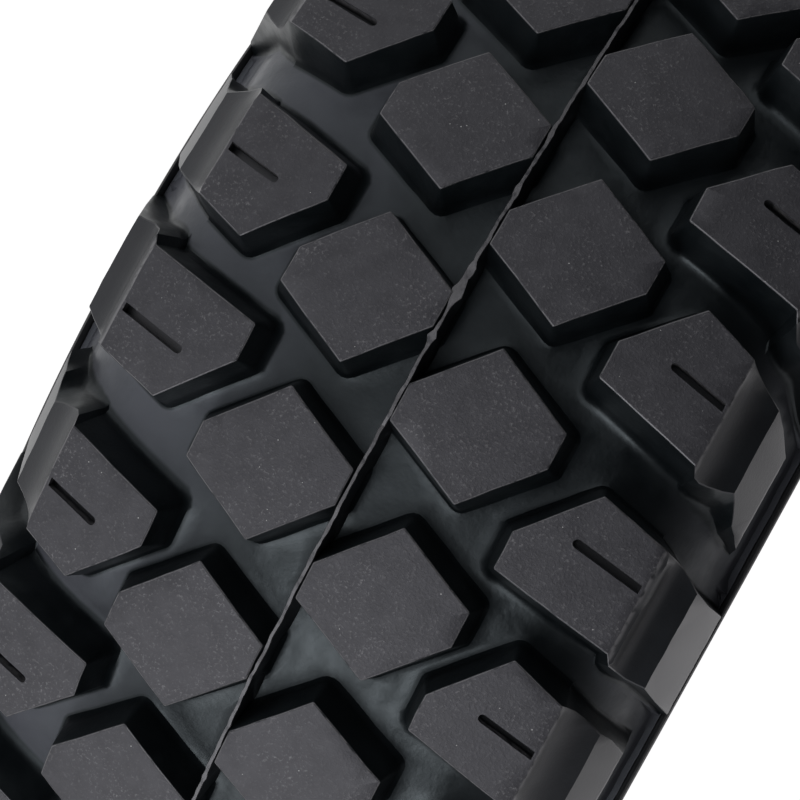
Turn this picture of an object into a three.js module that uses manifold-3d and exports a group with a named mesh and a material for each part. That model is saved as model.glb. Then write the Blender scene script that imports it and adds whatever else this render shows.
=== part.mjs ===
// Small pneumatic tyre with a block tread, modelled as the layers it is built from.
// The tyre lies on one sidewall: its axis is Z and it rests on z = 0. Millimetres.
// Every outline is drawn in the half plane (u, r): u is the axial distance from the
// equator and r the radius, held as the x and y of a Vector2. A layer is its outline
// turned once around the axis.
import * as THREE from 'three';
import { mergeVertices } from 'three/addons/utils/BufferGeometryUtils.js';
import Module from 'manifold-3d';

const wasm = await Module();
wasm.setup();

// ---- Driving dimensions -------------------------------------------------------------
const TYRE_RADIUS = 136;        // over the block tops, at the equator
const HALF_WIDTH = 48;          // equator to the flat face of the sidewall rib
const BEAD_SEAT_RADIUS = 50.8;  // 4 inch rim
const HALF_RIM_WIDTH = 31.75;   // 2.5 inch rim, between the flanges
const TREAD_DEPTH = 6.5;
const CROWN_RADIUS = 190;       // side-to-side curve of the tread
const BLOCKS = 34;              // blocks in each of the four rows
const GAP = 0.3;                // clearance between neighbouring layers
const LAYER_STEPS = 24;         // flats around each inner layer

const CAP_UNDER_GROOVE = 2.2;   // cap rubber left below the grooves
const TREAD_BASE_THICK = 1.4;
const BREAKER_THICK = 0.8;
const PLY_THICK = 0.8;
const LINER_THICK = 1;
const CHAFER_THICK = 1;
const WRAP_THICK = 0.6;
const BEAD_CORE_RADIUS = 2.6;   // corner radius of the hexagonal wire bundle

const PITCH_ANGLE = (2 * Math.PI) / BLOCKS;

// ---- Layer stack --------------------------------------------------------------------
// Distances from the carcass line, which is the outer face of the outer ply. Positive is
// towards the tread, and around the bead towards the wire.
const BREAKER_INNER = [GAP, GAP + BREAKER_THICK];
const BREAKER_OUTER = [BREAKER_INNER[1] + GAP, BREAKER_INNER[1] + GAP + BREAKER_THICK];
const TREAD_BASE = [BREAKER_OUTER[1] + GAP, BREAKER_OUTER[1] + GAP + TREAD_BASE_THICK];
const CAP_INSIDE = TREAD_BASE[1] + GAP;
const PLY_OUTER = [-PLY_THICK, 0];
const PLY_INNER = [PLY_OUTER[0] - GAP - PLY_THICK, PLY_OUTER[0] - GAP];
const LINER = [PLY_INNER[0] - GAP - LINER_THICK, PLY_INNER[0] - GAP];
const CHAFER = [PLY_INNER[0] - GAP - CHAFER_THICK, PLY_INNER[0] - GAP];

const CARCASS_CROWN = TYRE_RADIUS - TREAD_DEPTH - CAP_UNDER_GROOVE - CAP_INSIDE;

// ---- Bead position ------------------------------------------------------------------
const WRAP_RADIUS = BEAD_CORE_RADIUS + GAP;
const HOOK_RADIUS = WRAP_RADIUS + WRAP_THICK + GAP;
const BEAD_HALF = HOOK_RADIUS - CHAFER[0];
const BEAD_U = HALF_RIM_WIDTH - BEAD_HALF;
const BEAD_R = BEAD_SEAT_RADIUS + BEAD_HALF;

// ---- Outline helpers ----------------------------------------------------------------
const point = (u, r) => new THREE.Vector2(u, r);

// Radius of the block tops at a distance from the equator.
function topRadius(u) {
  return TYRE_RADIUS - CROWN_RADIUS + Math.sqrt(CROWN_RADIUS ** 2 - u ** 2);
}

// Points on a circle about the bead wire. Angles are in degrees from +u.
function beadArc(radius, from, to, steps) {
  const points = [];
  for (let i = 0; i <= steps; i += 1) {
    const angle = THREE.MathUtils.degToRad(from + ((to - from) * i) / steps);
    points.push(point(BEAD_U + radius * Math.cos(angle), BEAD_R + radius * Math.sin(angle)));
  }
  return points;
}

// Moves an open line to its right.
function offset(line, distance) {
  return line.map((p, i) => {
    const before = line[Math.max(i - 1, 0)];
    const after = line[Math.min(i + 1, line.length - 1)];
    const along = after.clone().sub(before).normalize();
    return point(p.x + along.y * distance, p.y - along.x * distance);
  });
}

// The outline of a layer that lies between two distances from a line.
function band(line, [near, far]) {
  return [...offset(line, near), ...offset(line, far).reverse()];
}

// A line that ends at the equator, with its other half added.
function mirrored(line) {
  const others = line.slice(0, -1).reverse();
  return [...line, ...others.map((p) => point(-p.x, p.y))];
}

// Turns a closed outline around the tyre's axis. Side is -1 for the lower half's parts.
function ring(outline, side = 1, steps = LAYER_STEPS) {
  const profile = outline.map((p) => point(p.y, p.x * side));
  if (THREE.ShapeUtils.area(profile) < 0) {
    profile.reverse();
  }
  profile.push(profile[0].clone());
  const geometry = new THREE.LatheGeometry(profile, steps);
  geometry.rotateX(Math.PI / 2);
  return geometry;
}

// ---- Carcass line -------------------------------------------------------------------
// From the end of a ply's turn-up, down beside the filler, around the bead, up the
// sidewall and over the crown.
const sidewallLine = [
  point(BEAD_U - HOOK_RADIUS, BEAD_R),
  point(26, 69),
  point(36.5, 82),
  point(42.4, 98),
  point(39.8, 112.5),
  point(31.5, CARCASS_CROWN - 3),
  point(0, CARCASS_CROWN),
];
const underBead = beadArc(HOOK_RADIUS, 0, -180, 3);
const turnUpFoot = point(29.3, 65);
const highTurnUp = [point(36.6, 79), turnUpFoot];
const lowTurnUp = [point(33.9, 74.4), turnUpFoot];
const linerFoot = point(23.2, 62.8);

function carcass(turnUp) {
  return mirrored([...turnUp, ...underBead.slice(0, -1), ...sidewallLine]);
}

// The inner liner leaves out the bead and ends just above the chafer.
const linerLine = mirrored([linerFoot, ...sidewallLine.slice(1)]);

// The part of the carcass line under the tread, made wider by an extra at each edge.
const SHOULDER_TUCK = 1;
function crownLine(extra) {
  const edge = sidewallLine[sidewallLine.length - 2];
  return mirrored([point(edge.x + extra, edge.y), point(0, CARCASS_CROWN)]);
}

// ---- Solids and booleans ------------------------------------------------------------
const WELD_DISTANCE = 1e-3;

function solid(geometry) {
  const bare = geometry.clone();
  bare.deleteAttribute('normal');
  bare.deleteAttribute('uv');
  const merged = mergeVertices(bare, WELD_DISTANCE);
  return new wasm.Manifold(new wasm.Mesh({
    numProp: 3,
    vertProperties: merged.attributes.position.array,
    triVerts: new Uint32Array(merged.index.array),
  }));
}

function geometryOf(manifold) {
  const mesh = manifold.getMesh();
  const geometry = new THREE.BufferGeometry();
  geometry.setAttribute('position', new THREE.BufferAttribute(mesh.vertProperties, mesh.numProp));
  geometry.setIndex(new THREE.BufferAttribute(mesh.triVerts, 1));
  geometry.computeVertexNormals();
  return geometry;
}

// ---- Tread --------------------------------------------------------------------------
const BLOCK_ROOT = 1;           // how far a block reaches into the cap
const BLOCK_SAG = 0.3;          // a flat block top sits this far under the round crown
const FIN_HALF = 0.3;           // moulding fin along the equator

// Block outlines seen from outside, about the block's centre: x runs around the tyre and
// y towards its side. A centre block is a lozenge with its two side corners cut off.
const centreCorners = [[9.9, 2], [0.5, 9.9], [-4.5, 9.9], [-9.9, -2], [-0.5, -9.9], [4.5, -9.9]];
const shoulderCorners = [[8.4, 8.3], [5.8, -8.1], [0.6, -8.1], [-8.6, -0.5], [-6.4, 8.3]];
const centreRow = { corners: centreCorners, u: 10.45, phase: -0.055 };
const shoulderRow = { corners: shoulderCorners, u: 28.4, phase: -0.748 };

// The far half of the tread is the near half turned half round about one radius. That
// sets the two centre rows this many pitches apart.
const ROW_SHIFT = 0.548;
const HALF_TURN_ANGLE = (ROW_SHIFT / 2) * PITCH_ANGLE;

function turnedToSide(geometry, side) {
  if (side < 0) {
    geometry.rotateZ(-HALF_TURN_ANGLE);
    geometry.rotateX(Math.PI);
    geometry.rotateZ(HALF_TURN_ANGLE);
  }
  return solid(geometry);
}

// Takes a block's own axes (around, across, out) to the tyre's (y, z, x).
const blockFrame = new THREE.Matrix4().makeBasis(
  new THREE.Vector3(0, 1, 0),
  new THREE.Vector3(0, 0, 1),
  new THREE.Vector3(1, 0, 0),
);

// One block, stood on the crown. The phase of a block counts in pitches.
function block(row, index, side) {
  const outline = new THREE.Shape(row.corners.map(([around, across]) => point(around, across)));
  const depth = TREAD_DEPTH + BLOCK_ROOT;
  const geometry = new THREE.ExtrudeGeometry(outline, { depth, bevelEnabled: false });
  geometry.translate(0, 0, -depth);
  geometry.rotateX(-Math.asin(row.u / CROWN_RADIUS));
  geometry.translate(0, row.u, topRadius(row.u) - BLOCK_SAG);
  geometry.applyMatrix4(blockFrame);
  geometry.rotateZ((row.phase + index) * PITCH_ANGLE);
  return turnedToSide(geometry, side);
}

// Shoulder buttress: the section of a shoulder block where it turns down the side.
// Short and long ones take turns around the tyre.
const shortButtress = [
  [34.6, 124.5], [36.2, 132.1], [38.4, 127.2], [41.3, 124.4], [44.9, 113], [42.5, 112],
];
const longButtress = [
  [34.6, 124.5], [36.2, 132.1], [37.6, 131.9], [40.2, 126.9], [43.3, 123.4], [47.6, 107],
  [43.6, 107],
];
const BUTTRESS_LENGTH = 13.6;
const BUTTRESS_PHASE = -0.708;

function buttress(section, index, side) {
  const outline = new THREE.Shape(section.map(([u, r]) => point(r, u)));
  const geometry = new THREE.ExtrudeGeometry(outline, { depth: BUTTRESS_LENGTH, bevelEnabled: false });
  geometry.translate(0, 0, -BUTTRESS_LENGTH / 2);
  geometry.rotateX(Math.PI / 2);
  geometry.rotateZ((BUTTRESS_PHASE + index) * PITCH_ANGLE);
  return turnedToSide(geometry, side);
}

const CAP_EDGE_R = 105.8;       // where the cap meets the sidewalls
const INSIDE_R = 95;            // anywhere between the cap and the axis
const grooveFloor = [
  point(44, INSIDE_R), point(47.6, 104.5), point(44.4, 109.5), point(42, 119), point(38.5, 123.8),
  point(25, topRadius(25) - TREAD_DEPTH), point(0, TYRE_RADIUS - TREAD_DEPTH),
];
const underCap = [
  point(HALF_WIDTH, INSIDE_R - 1), point(HALF_WIDTH, CAP_EDGE_R), point(42.9, CAP_EDGE_R),
  point(41.6, 112.4), point(38.4, 118.6),
];

function treadCap() {
  const crown = offset(crownLine(SHOULDER_TUCK), CAP_INSIDE).slice(0, 2);
  const hollow = solid(ring(mirrored([...underCap, ...crown])));
  const finFoot = TYRE_RADIUS - TREAD_DEPTH - BLOCK_ROOT;
  const fin = [
    point(FIN_HALF, finFoot), point(FIN_HALF, TYRE_RADIUS),
    point(-FIN_HALF, TYRE_RADIUS), point(-FIN_HALF, finFoot),
  ];
  let cap = solid(ring(mirrored(grooveFloor), 1, BLOCKS));
  cap = cap.add(solid(ring(fin, 1, BLOCKS)));
  for (let i = 0; i < BLOCKS; i += 1) {
    for (const side of [1, -1]) {
      const section = i % 2 === 0 ? longButtress : shortButtress;
      cap = cap.add(block(centreRow, i, side));
      cap = cap.add(block(shoulderRow, i, side));
      cap = cap.add(buttress(section, i, side));
    }
  }
  return geometryOf(cap.subtract(hollow));
}

// ---- Under the tread ----------------------------------------------------------------
function crownBand(layer, extra) {
  return ring(band(crownLine(extra), layer));
}

// Soft wedge that carries the breaker edges at the shoulder.
const shoulderCushion = [
  point(32.8, 119.6), point(39.7, 113.3), point(40.9, 109.2), point(41, 112.2),
  point(37.8, 118.2), point(34.6, 121.2),
];

// ---- Side and bead ------------------------------------------------------------------
const sidewall = [
  point(32.6, 64), point(34.8, 66.6), point(37.6, 71), point(41.4, 78), point(44.6, 87),
  point(46.6, 96.4), point(HALF_WIDTH, 98), point(HALF_WIDTH, 104.4), point(47.2, 105.5),
  point(42.3, 105.5), point(42.9, 98), point(40.5, 88.8), point(38.9, 80.4),
  point(38.6, 78), point(31.4, 64),
];

const chaferOutside = [
  point(32.2, 63.6), point(HALF_RIM_WIDTH, BEAD_R), point(HALF_RIM_WIDTH, 53.4),
  point(29.6, BEAD_SEAT_RADIUS), point(17.4, 49.8), point(17.4, 51.2),
  point(BEAD_U - BEAD_HALF, BEAD_R), point(19.6, 63.6),
];
const chaferInside = [
  point(20.6, 63.1), ...beadArc(HOOK_RADIUS - CHAFER[1], -180, 0, 3), point(31.1, 63.6),
];

const filler = [
  point(24.1, 60.6), point(26.9, 60.6), point(28.8, 65.4), point(32.2, 73.4),
  point(30.6, 73.6), point(26.6, 69.1), point(24.6, 65),
];

const WRAP_TOP = 61.5;          // where the two legs of the wrap end

function beadWrap() {
  const around = beadArc(WRAP_RADIUS + WRAP_THICK, 0, -180, 3);
  const outside = [point(28.4, WRAP_TOP), ...around, point(23.1, WRAP_TOP)];
  return band(outside, [0, WRAP_THICK]);
}

// The wires are wound into a hexagonal bundle.
const HEXAGON_SIDES = 6;
const lastCorner = 360 - 360 / HEXAGON_SIDES;
const wireBundle = beadArc(BEAD_CORE_RADIUS, 0, lastCorner, HEXAGON_SIDES - 1);

// ---- Materials ----------------------------------------------------------------------
const material = (color, roughness, metalness = 0) =>
  new THREE.MeshStandardMaterial({ color, roughness, metalness });

const treadRubber = () => material(0x2a2a2d, 0.78);
const sidewallRubber = () => material(0x262628, 0.72);
const cushionRubber = () => material(0x1f1f21, 0.8);
const linerRubber = () => material(0x1b1b1d, 0.6);
const plyFabric = () => material(0x3c3630, 0.85);
const chaferFabric = () => material(0x2e2b28, 0.85);
const wire = () => material(0xa88a5a, 0.4, 0.9);

// ---- Assembly -----------------------------------------------------------------------
const tyre = new THREE.Group();

function add(name, geometry, finish) {
  const mesh = new THREE.Mesh(geometry, finish);
  mesh.name = name;
  mesh.position.z = HALF_WIDTH;
  tyre.add(mesh);
}

add('tread_cap', treadCap(), treadRubber());
add('tread_base', crownBand(TREAD_BASE, SHOULDER_TUCK), cushionRubber());
add('breaker_outer', crownBand(BREAKER_OUTER, -2 * SHOULDER_TUCK), plyFabric());
add('breaker_inner', crownBand(BREAKER_INNER, 0), plyFabric());
add('carcass_ply_outer', ring(band(carcass(lowTurnUp), PLY_OUTER)), plyFabric());
add('carcass_ply_inner', ring(band(carcass(highTurnUp), PLY_INNER)), plyFabric());
add('inner_liner', ring(band(linerLine, LINER)), linerRubber());

for (const [word, side] of [['upper', 1], ['lower', -1]]) {
  add(`sidewall_${word}`, ring(sidewall, side), sidewallRubber());
  add(`shoulder_cushion_${word}`, ring(shoulderCushion, side), cushionRubber());
  add(`chafer_${word}`, ring([...chaferOutside, ...chaferInside], side), chaferFabric());
  add(`bead_filler_${word}`, ring(filler, side), cushionRubber());
  add(`bead_wrap_${word}`, ring(beadWrap(), side), plyFabric());
  add(`bead_wire_${word}`, ring(wireBundle, side), wire());
}

export default tyre;
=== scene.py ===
"""Looks of a small pneumatic block-tread tyre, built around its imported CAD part.

The tyre lies on its side: its axis is +Z and the floor is z = 0. Shapes are worked out in
millimetres in the tyre's own coordinates and turned into metres when a mesh is made:
  s  distance around the tyre at the tread radius (angle = s / TYRE_RADIUS)
  u  axial distance from the equator, positive towards the upper side
  r  radius
"""

import math
import random

import bmesh
import bpy
from mathutils import Matrix, Vector, noise
from mathutils.geometry import delaunay_2d_cdt


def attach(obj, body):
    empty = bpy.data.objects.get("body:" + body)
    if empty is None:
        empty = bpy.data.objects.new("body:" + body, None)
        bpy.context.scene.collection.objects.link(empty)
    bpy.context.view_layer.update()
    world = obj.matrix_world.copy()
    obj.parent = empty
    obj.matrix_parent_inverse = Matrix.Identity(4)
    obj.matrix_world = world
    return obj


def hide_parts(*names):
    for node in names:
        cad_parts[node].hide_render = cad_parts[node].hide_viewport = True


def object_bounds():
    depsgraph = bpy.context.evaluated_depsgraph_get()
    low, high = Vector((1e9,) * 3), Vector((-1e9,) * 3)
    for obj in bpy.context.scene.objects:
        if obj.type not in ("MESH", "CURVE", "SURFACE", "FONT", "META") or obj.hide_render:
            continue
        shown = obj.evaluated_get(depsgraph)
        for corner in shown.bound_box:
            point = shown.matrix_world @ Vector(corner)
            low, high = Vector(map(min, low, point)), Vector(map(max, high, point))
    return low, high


MM = 0.001

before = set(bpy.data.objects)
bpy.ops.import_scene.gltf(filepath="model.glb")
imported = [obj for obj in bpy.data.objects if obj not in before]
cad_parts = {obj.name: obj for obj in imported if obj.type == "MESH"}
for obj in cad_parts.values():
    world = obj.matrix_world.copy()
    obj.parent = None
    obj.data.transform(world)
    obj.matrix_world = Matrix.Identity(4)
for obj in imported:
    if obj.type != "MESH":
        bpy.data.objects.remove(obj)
cad_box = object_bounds()

# ---- Driving dimensions, from the frame ----------------------------------------------
TYRE_RADIUS = cad_box[1][0] / MM
HALF_WIDTH = cad_box[1][2] / MM / 2
BLOCKS = 34                       # blocks in each row
PITCH = 2 * math.pi * TYRE_RADIUS / BLOCKS
PERIOD = 2 * PITCH                # long and short shoulder blocks take turns
PERIODS = BLOCKS // 2
CROWN_RADIUS = 190                # side-to-side curve of the tread
TREAD_DEPTH = 6.5
ROW_SHIFT = 0.548 * PITCH         # the tread is the same turned half round at s = ROW_SHIFT / 2


# ---- Profiles in the (u, r) plane ----------------------------------------------------
class Profile:
    """A line of (u, r) points. It gives r and the length along the line at any u, and is the
    same on both sides of the equator."""

    def __init__(self, points):
        self.points = points
        self.lengths = [0.0]
        for (u0, r0), (u1, r1) in zip(points, points[1:]):
            self.lengths.append(self.lengths[-1] + math.hypot(u1 - u0, r1 - r0))

    def place(self, u, values):
        """What the values, one for each point, come to at u."""
        points = self.points
        u = min(max(abs(u), points[0][0]), points[-1][0])
        for i in range(1, len(points)):
            if u <= points[i][0]:
                part = (u - points[i - 1][0]) / (points[i][0] - points[i - 1][0])
                return values[i - 1] + part * (values[i] - values[i - 1])
        return values[-1]

    def radius(self, u):
        return self.place(u, [r for _, r in self.points])

    def length(self, u):
        return math.copysign(self.place(u, self.lengths), u)


def crown(u, drop=0.0):
    """The radius of the tread's curved surface, or of one that lies below it."""
    return TYRE_RADIUS - CROWN_RADIUS + math.sqrt(CROWN_RADIUS**2 - u**2) - drop


CROWN_STEP = 2.5


def crown_points(last, drop=0.0):
    """Even points along the crown from the equator to u = last."""
    count = math.ceil(last / CROWN_STEP)
    return [(last * i / count, crown(last * i / count, drop)) for i in range(count + 1)]


LEDGE_U = 46.9                    # outer edge of the tread rubber, in the channel by the rim line
LEDGE_R = 108.3
LONG_EDGE = 37.3                  # where a long shoulder block's top ends and its cove begins
SHORT_EDGE = 35.6                 # the same on a short block
floor_line = Profile(crown_points(28, TREAD_DEPTH) + [
    (31.5, 126.2), (34.5, 124.8), (37, 123.1), (39.2, 121.0), (41.2, 118.3), (42.8, 115.2),
    (43.8, 112.5), (44.6, 111.2), (45.3, 110.4), (45.7, 109.2), (46.1, 108.5), (LEDGE_U, LEDGE_R),
])
centre_top = Profile(crown_points(30))
long_top = Profile(crown_points(LONG_EDGE) + [
    (37.5, 132.15), (38.3, 131.3), (38.7, 129.2), (39.3, 127.7), (40.3, 126.6), (41.7, 126.0),
    (43.3, 125.3), (47.6, 110.4),
])
short_top = Profile(crown_points(SHORT_EDGE) + [
    (35.8, 132.5), (36.3, 130.9), (37.2, 129.4), (38.3, 128.1), (39.7, 127.0), (41.3, 126.2),
    (44.9, 118.0),
])
# Where a point of a shoulder block's top stands on the groove floor: (top u, floor u).
long_base = Profile([(0, 0), (36, 35.2), (38.3, 36.4), (43.3, 40.6), (47.6, 46.8)])
short_base = Profile([(0, 0), (34.6, 34.0), (36.3, 35.0), (41.3, 39.2), (44.9, 44.7)])
centre_base = Profile([(0, 0), (60, 60)])


# ---- Block outlines ------------------------------------------------------------------
# Corners run counter-clockwise seen from outside, as (s, u, foot). The foot is how far the
# wall and its fillet reach out from the edge that starts at that corner.
centre_corners = [
    (9.9, 2, 1.7), (0.5, 9.9, 1.9), (-4.5, 9.9, 2.2), (-9.9, -2, 2.1), (-0.5, -10.0, 1.8),
    (4.5, -10.0, 1.8),
]
CENTRE_S = -0.055 * PITCH
CENTRE_U = 10.45
centre_outline = [(CENTRE_S + s, CENTRE_U + u, foot) for s, u, foot in centre_corners]

# A shoulder block runs on down the side. Its two ends there are rows of points, and their
# walls face straight along the tyre.
long_inner = [(-24.5, LONG_EDGE, 2.1), (-26.6, 27.9, 1.9), (-17.3, 20.2, 2.2), (-12.1, 20.3, 2.8)]
long_right = [
    (-9.3, LONG_EDGE, 2.9), (-7.9, 38.1, 2.8), (-7.0, 39.2, 2.6), (-6.5, 40.6, 2.6),
    (-6.5, 42.0, 2.8), (-6.5, 43.3, 3.0), (-3.9, 45.4, 2.2), (-1.1, 47.6, 1.4),
]
long_left = [
    (-19.3, 47.6, 1.2), (-20.2, 45.4, 1.5), (-21.4, 43.3, 1.7), (-22.5, 41.9, 1.7),
    (-23.4, 40.4, 1.8), (-23.9, 39.2, 1.9), (-24.2, 38.1, 2.0),
]
short_inner = [(-25.9, SHORT_EDGE, 2.1), (-28.4, 27.9, 1.9), (-19.1, 20.2, 2.2),
               (-13.9, 20.3, 3.3)]
short_right = [
    (-10.2, SHORT_EDGE, 3.3), (-9.0, 36.2, 2.4), (-8.8, 37.0, 2.5), (-9.1, 38.2, 3.2),
    (-9.6, 40.0, 4.3), (-10.2, 41.3, 5.2), (-9.2, 42.0, 4.5), (-7.8, 42.6, 3.5),
    (-6.7, 43.0, 2.7), (-6.3, 43.4, 2.4), (-5.8, 43.9, 2.1), (-5.0, 44.4, 1.6),
    (-4.4, 44.9, 1.2),
]
short_left = [
    (-19.8, 44.9, 1.6), (-22.2, 42.9, 1.7), (-23.4, 41.3, 1.8), (-24.2, 39.7, 1.9),
    (-24.8, 38.3, 2.0), (-25.3, 37.2, 2.0), (-25.6, 36.3, 2.1),
]

CORNER_RADIUS = 0.35
STRAIGHT = math.radians(14)       # a corner that turns less than this stays a point
SHARP = math.radians(60)          # a corner that turns more than this gets an extra step
EDGE_STEP = 2.4                   # about the gap between the points of a straight edge


def part_way(a, b, k, pieces):
    """The point that is k of that many pieces on the way from a to b."""
    return a[0] + (b[0] - a[0]) * k / pieces, a[1] + (b[1] - a[1]) * k / pieces


def unit(a, b):
    """The direction from a to b, as a unit vector."""
    ds = b[0] - a[0]
    du = b[1] - a[1]
    size = math.hypot(ds, du)
    return ds / size, du / size


def rounded(outline, closed=True):
    """The outline as close points (s, u, normal s, normal u, foot), its corners rounded.
    An open outline leaves its first and last corners out."""
    count = len(outline)
    ring = []
    for i in range(0 if closed else 1, count if closed else count - 1):
        here = outline[i]
        before = unit(outline[i - 1], here)
        after = unit(here, outline[(i + 1) % count])
        foot_before = outline[i - 1][2]
        turn = math.atan2(before[0] * after[1] - before[1] * after[0],
                          before[0] * after[0] + before[1] * after[1])
        if abs(turn) < STRAIGHT:
            way = unit((0, 0), (before[0] + after[0], before[1] + after[1]))
            arc = [(here[0], here[1], way, (foot_before + here[2]) / 2)]
        else:
            cut = CORNER_RADIUS * math.tan(abs(turn) / 2)
            steps = 2 if abs(turn) < SHARP else 3
            arc = []
            for k in range(steps + 1):
                part = k / steps
                angle = turn * part
                way = (before[0] * math.cos(angle) - before[1] * math.sin(angle),
                       before[0] * math.sin(angle) + before[1] * math.cos(angle))
                back = (1 - part) ** 2
                on = part**2
                s = here[0] - before[0] * cut * back + after[0] * cut * on
                u = here[1] - before[1] * cut * back + after[1] * cut * on
                arc.append((s, u, way, foot_before + part * (here[2] - foot_before)))
        for s, u, way, foot in arc:
            ring.append((s, u, way[1], -way[0], foot))
        last = ring[-1]
        following = outline[(i + 1) % count]
        gap = math.hypot(following[0] - last[0], following[1] - last[1]) - CORNER_RADIUS
        pieces = max(1, round(gap / EDGE_STEP))
        for k in range(1, pieces):
            ring.append((*part_way(last, following, k, pieces), after[1], -after[0], here[2]))
    return ring


def shoulder(inner, right, left):
    """A shoulder block's outline: its right end, outer edge, left end and inner corners."""
    ring = [(s, u, 1, 0, foot) for s, u, foot in right]
    first = right[-1]
    last = left[0]
    pieces = round((first[0] - last[0]) / EDGE_STEP)
    for k in range(1, pieces):
        ring.append((part_way(first, last, k, pieces)[0], first[1], 0, 1, 0.0))
    ring += [(s, u, -1, 0, foot) for s, u, foot in left]
    corners = [(*left[-1][:2], inner[0][2])] + inner + [(*right[0][:2], inner[-1][2])]
    return ring + rounded(corners, closed=False)


# ---- Triangulation -------------------------------------------------------------------
# Flat regions are filled in (s, w), where w is the length along the surface's own profile.
INSIDE_ONLY = 1                   # the triangulation drops what lies outside the loops
TOUCHING = 1e-7                   # points closer than this are one


def inside(s, w, loop):
    """Whether a point is inside a closed loop."""
    crossings = 0
    for (s0, w0), (s1, w1) in zip(loop, loop[1:] + loop[:1]):
        if (w0 > w) != (w1 > w) and s < s0 + (w - w0) * (s1 - s0) / (w1 - w0):
            crossings += 1
    return crossings % 2 == 1


def distance_to(s, w, loop):
    """How far a point is from the nearest side of a loop."""
    best = math.inf
    for (s0, w0), (s1, w1) in zip(loop, loop[1:] + loop[:1]):
        ds = s1 - s0
        dw = w1 - w0
        part = ((s - s0) * ds + (w - w0) * dw) / (ds * ds + dw * dw)
        part = min(max(part, 0), 1)
        best = min(best, math.hypot(s0 + part * ds - s, w0 + part * dw - w))
    return best


def fill(outer, holes, scatter, clearance, rows=()):
    """Triangles over a flat region, with some of their sides along the rows of points. Scatter
    and rows keep a clearance from every loop. Returns the extra points used, and index triples
    that count through outer, the holes and those points."""
    points = [Vector(p) for loop in [outer] + holes for p in loop]
    faces = []
    start = 0
    for loop in [outer] + holes:
        faces.append(list(range(start, start + len(loop))))
        start += len(loop)

    def clear(s, w):
        if not inside(s, w, outer) or distance_to(s, w, outer) < clearance:
            return False
        return not any(inside(s, w, hole) or distance_to(s, w, hole) < clearance
                       for hole in holes)

    extra = [p for p in scatter if clear(*p)]
    edges = []
    for row in rows:
        before = None
        for p in row:
            if clear(*p):
                extra.append(p)
                if before is not None:
                    edges.append((before, len(points) + len(extra) - 1))
                before = len(points) + len(extra) - 1
            else:
                before = None
    points += [Vector(p) for p in extra]
    result = delaunay_2d_cdt(points, edges, faces, INSIDE_ONLY, TOUCHING, True)
    triangles = []
    origin = [ids[0] for ids in result[3]]
    for triangle, sources in zip(result[2], result[5]):
        if set(sources) == {0}:
            triangles.append([origin[k] for k in triangle])
    return extra, triangles


JITTER = 0.15                     # how far a grid point may move, as a share of the step


def grid(low, high, step, seed):
    """Points about a step apart over a box, each moved a little at random."""
    chance = random.Random(seed)
    points = []
    rows = max(1, round((high[1] - low[1]) / step))
    columns = max(1, round((high[0] - low[0]) / step))
    for j in range(rows + 1):
        for i in range(columns + 1):
            s = low[0] + (high[0] - low[0]) * (i + 0.5 * (j % 2)) / columns
            w = low[1] + (high[1] - low[1]) * j / rows
            points.append((s + chance.uniform(-JITTER, JITTER) * step,
                           w + chance.uniform(-JITTER, JITTER) * step))
    return points


# ---- One period of tread -------------------------------------------------------------
class Tile:
    """Points (s, u, r, wear_and_light) and faces of one period. That value is 1 on the block
    tops, less on their trim, 0 on walls and -1 on the open floor of the grooves. It masks dust
    and wear on the tops, wear and a painted highlight on edges and trims, and painted light on
    the floor."""

    def __init__(self):
        self.points = []
        self.faces = []
        self.raised = set()       # numbers of the faces that aren't groove: tops, coves, slots

    def add(self, points):
        """Adds points and returns their numbers."""
        first = len(self.points)
        self.points += points
        return list(range(first, first + len(points)))

    def bridge(self, upper, lower):
        """Quads between two closed rings of the same length."""
        count = len(upper)
        for i in range(count):
            j = (i + 1) % count
            self.faces.append([upper[i], lower[i], lower[j], upper[j]])

    def raise_from(self, first):
        """Marks every face from number first on as not groove."""
        self.raised.update(range(first, len(self.faces)))


BEVEL = 0.2                       # width of the bevel round a block's top, painted lighter as wear and a highlight
BEVEL_DROP = 0.12
# The wall's steps below the bevel, as (share of the foot's reach, share of the depth).
WALL = [(0.42, 0.66), (0.47, 0.8), (0.57, 0.91), (0.74, 0.975), (1, 1)]
OPEN_FLOOR = 0.9                  # beyond this share of the reach the wall has become floor
TRIM = 0.3                        # width of the moulding trim where a top meets its cove
# The trim's mask value: part wear, part painted highlight.
TRIM_WEAR_AND_HIGHLIGHT = 0.5
TOP_STEP = 2.6                    # between the points scattered over a block's top
TOP_SEED = 11
TOP_COLUMNS = 14                  # steps along each crease of a shoulder block's top
COVE_MARGIN = 1.2                 # no scattered points this close to the first crease
TOP_CLEARANCE = 0.3               # and none this close to the rim or the sipe

# The sipe: a blind slot with a round inner end.
SLOT_HALF = 0.6                   # half its width
SLOT_DEPTH = 1.8
SLOT_INNER = (-19.75, 27.8)       # (s, u) of the middle of its round end
SLOT_OUTER_S = -18.4              # s of the middle of its other end
SLOT_ROUND = 6                    # steps round the end and along each side
SLOT_SIDE = 3


def placed(point, flip, shift):
    """A point moved to its place: flip turns it half round about a radius."""
    s, u, r, wear_and_light = point
    if flip:
        s = ROW_SHIFT - s
        u = -u
    return s + shift, u, r, wear_and_light


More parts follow.
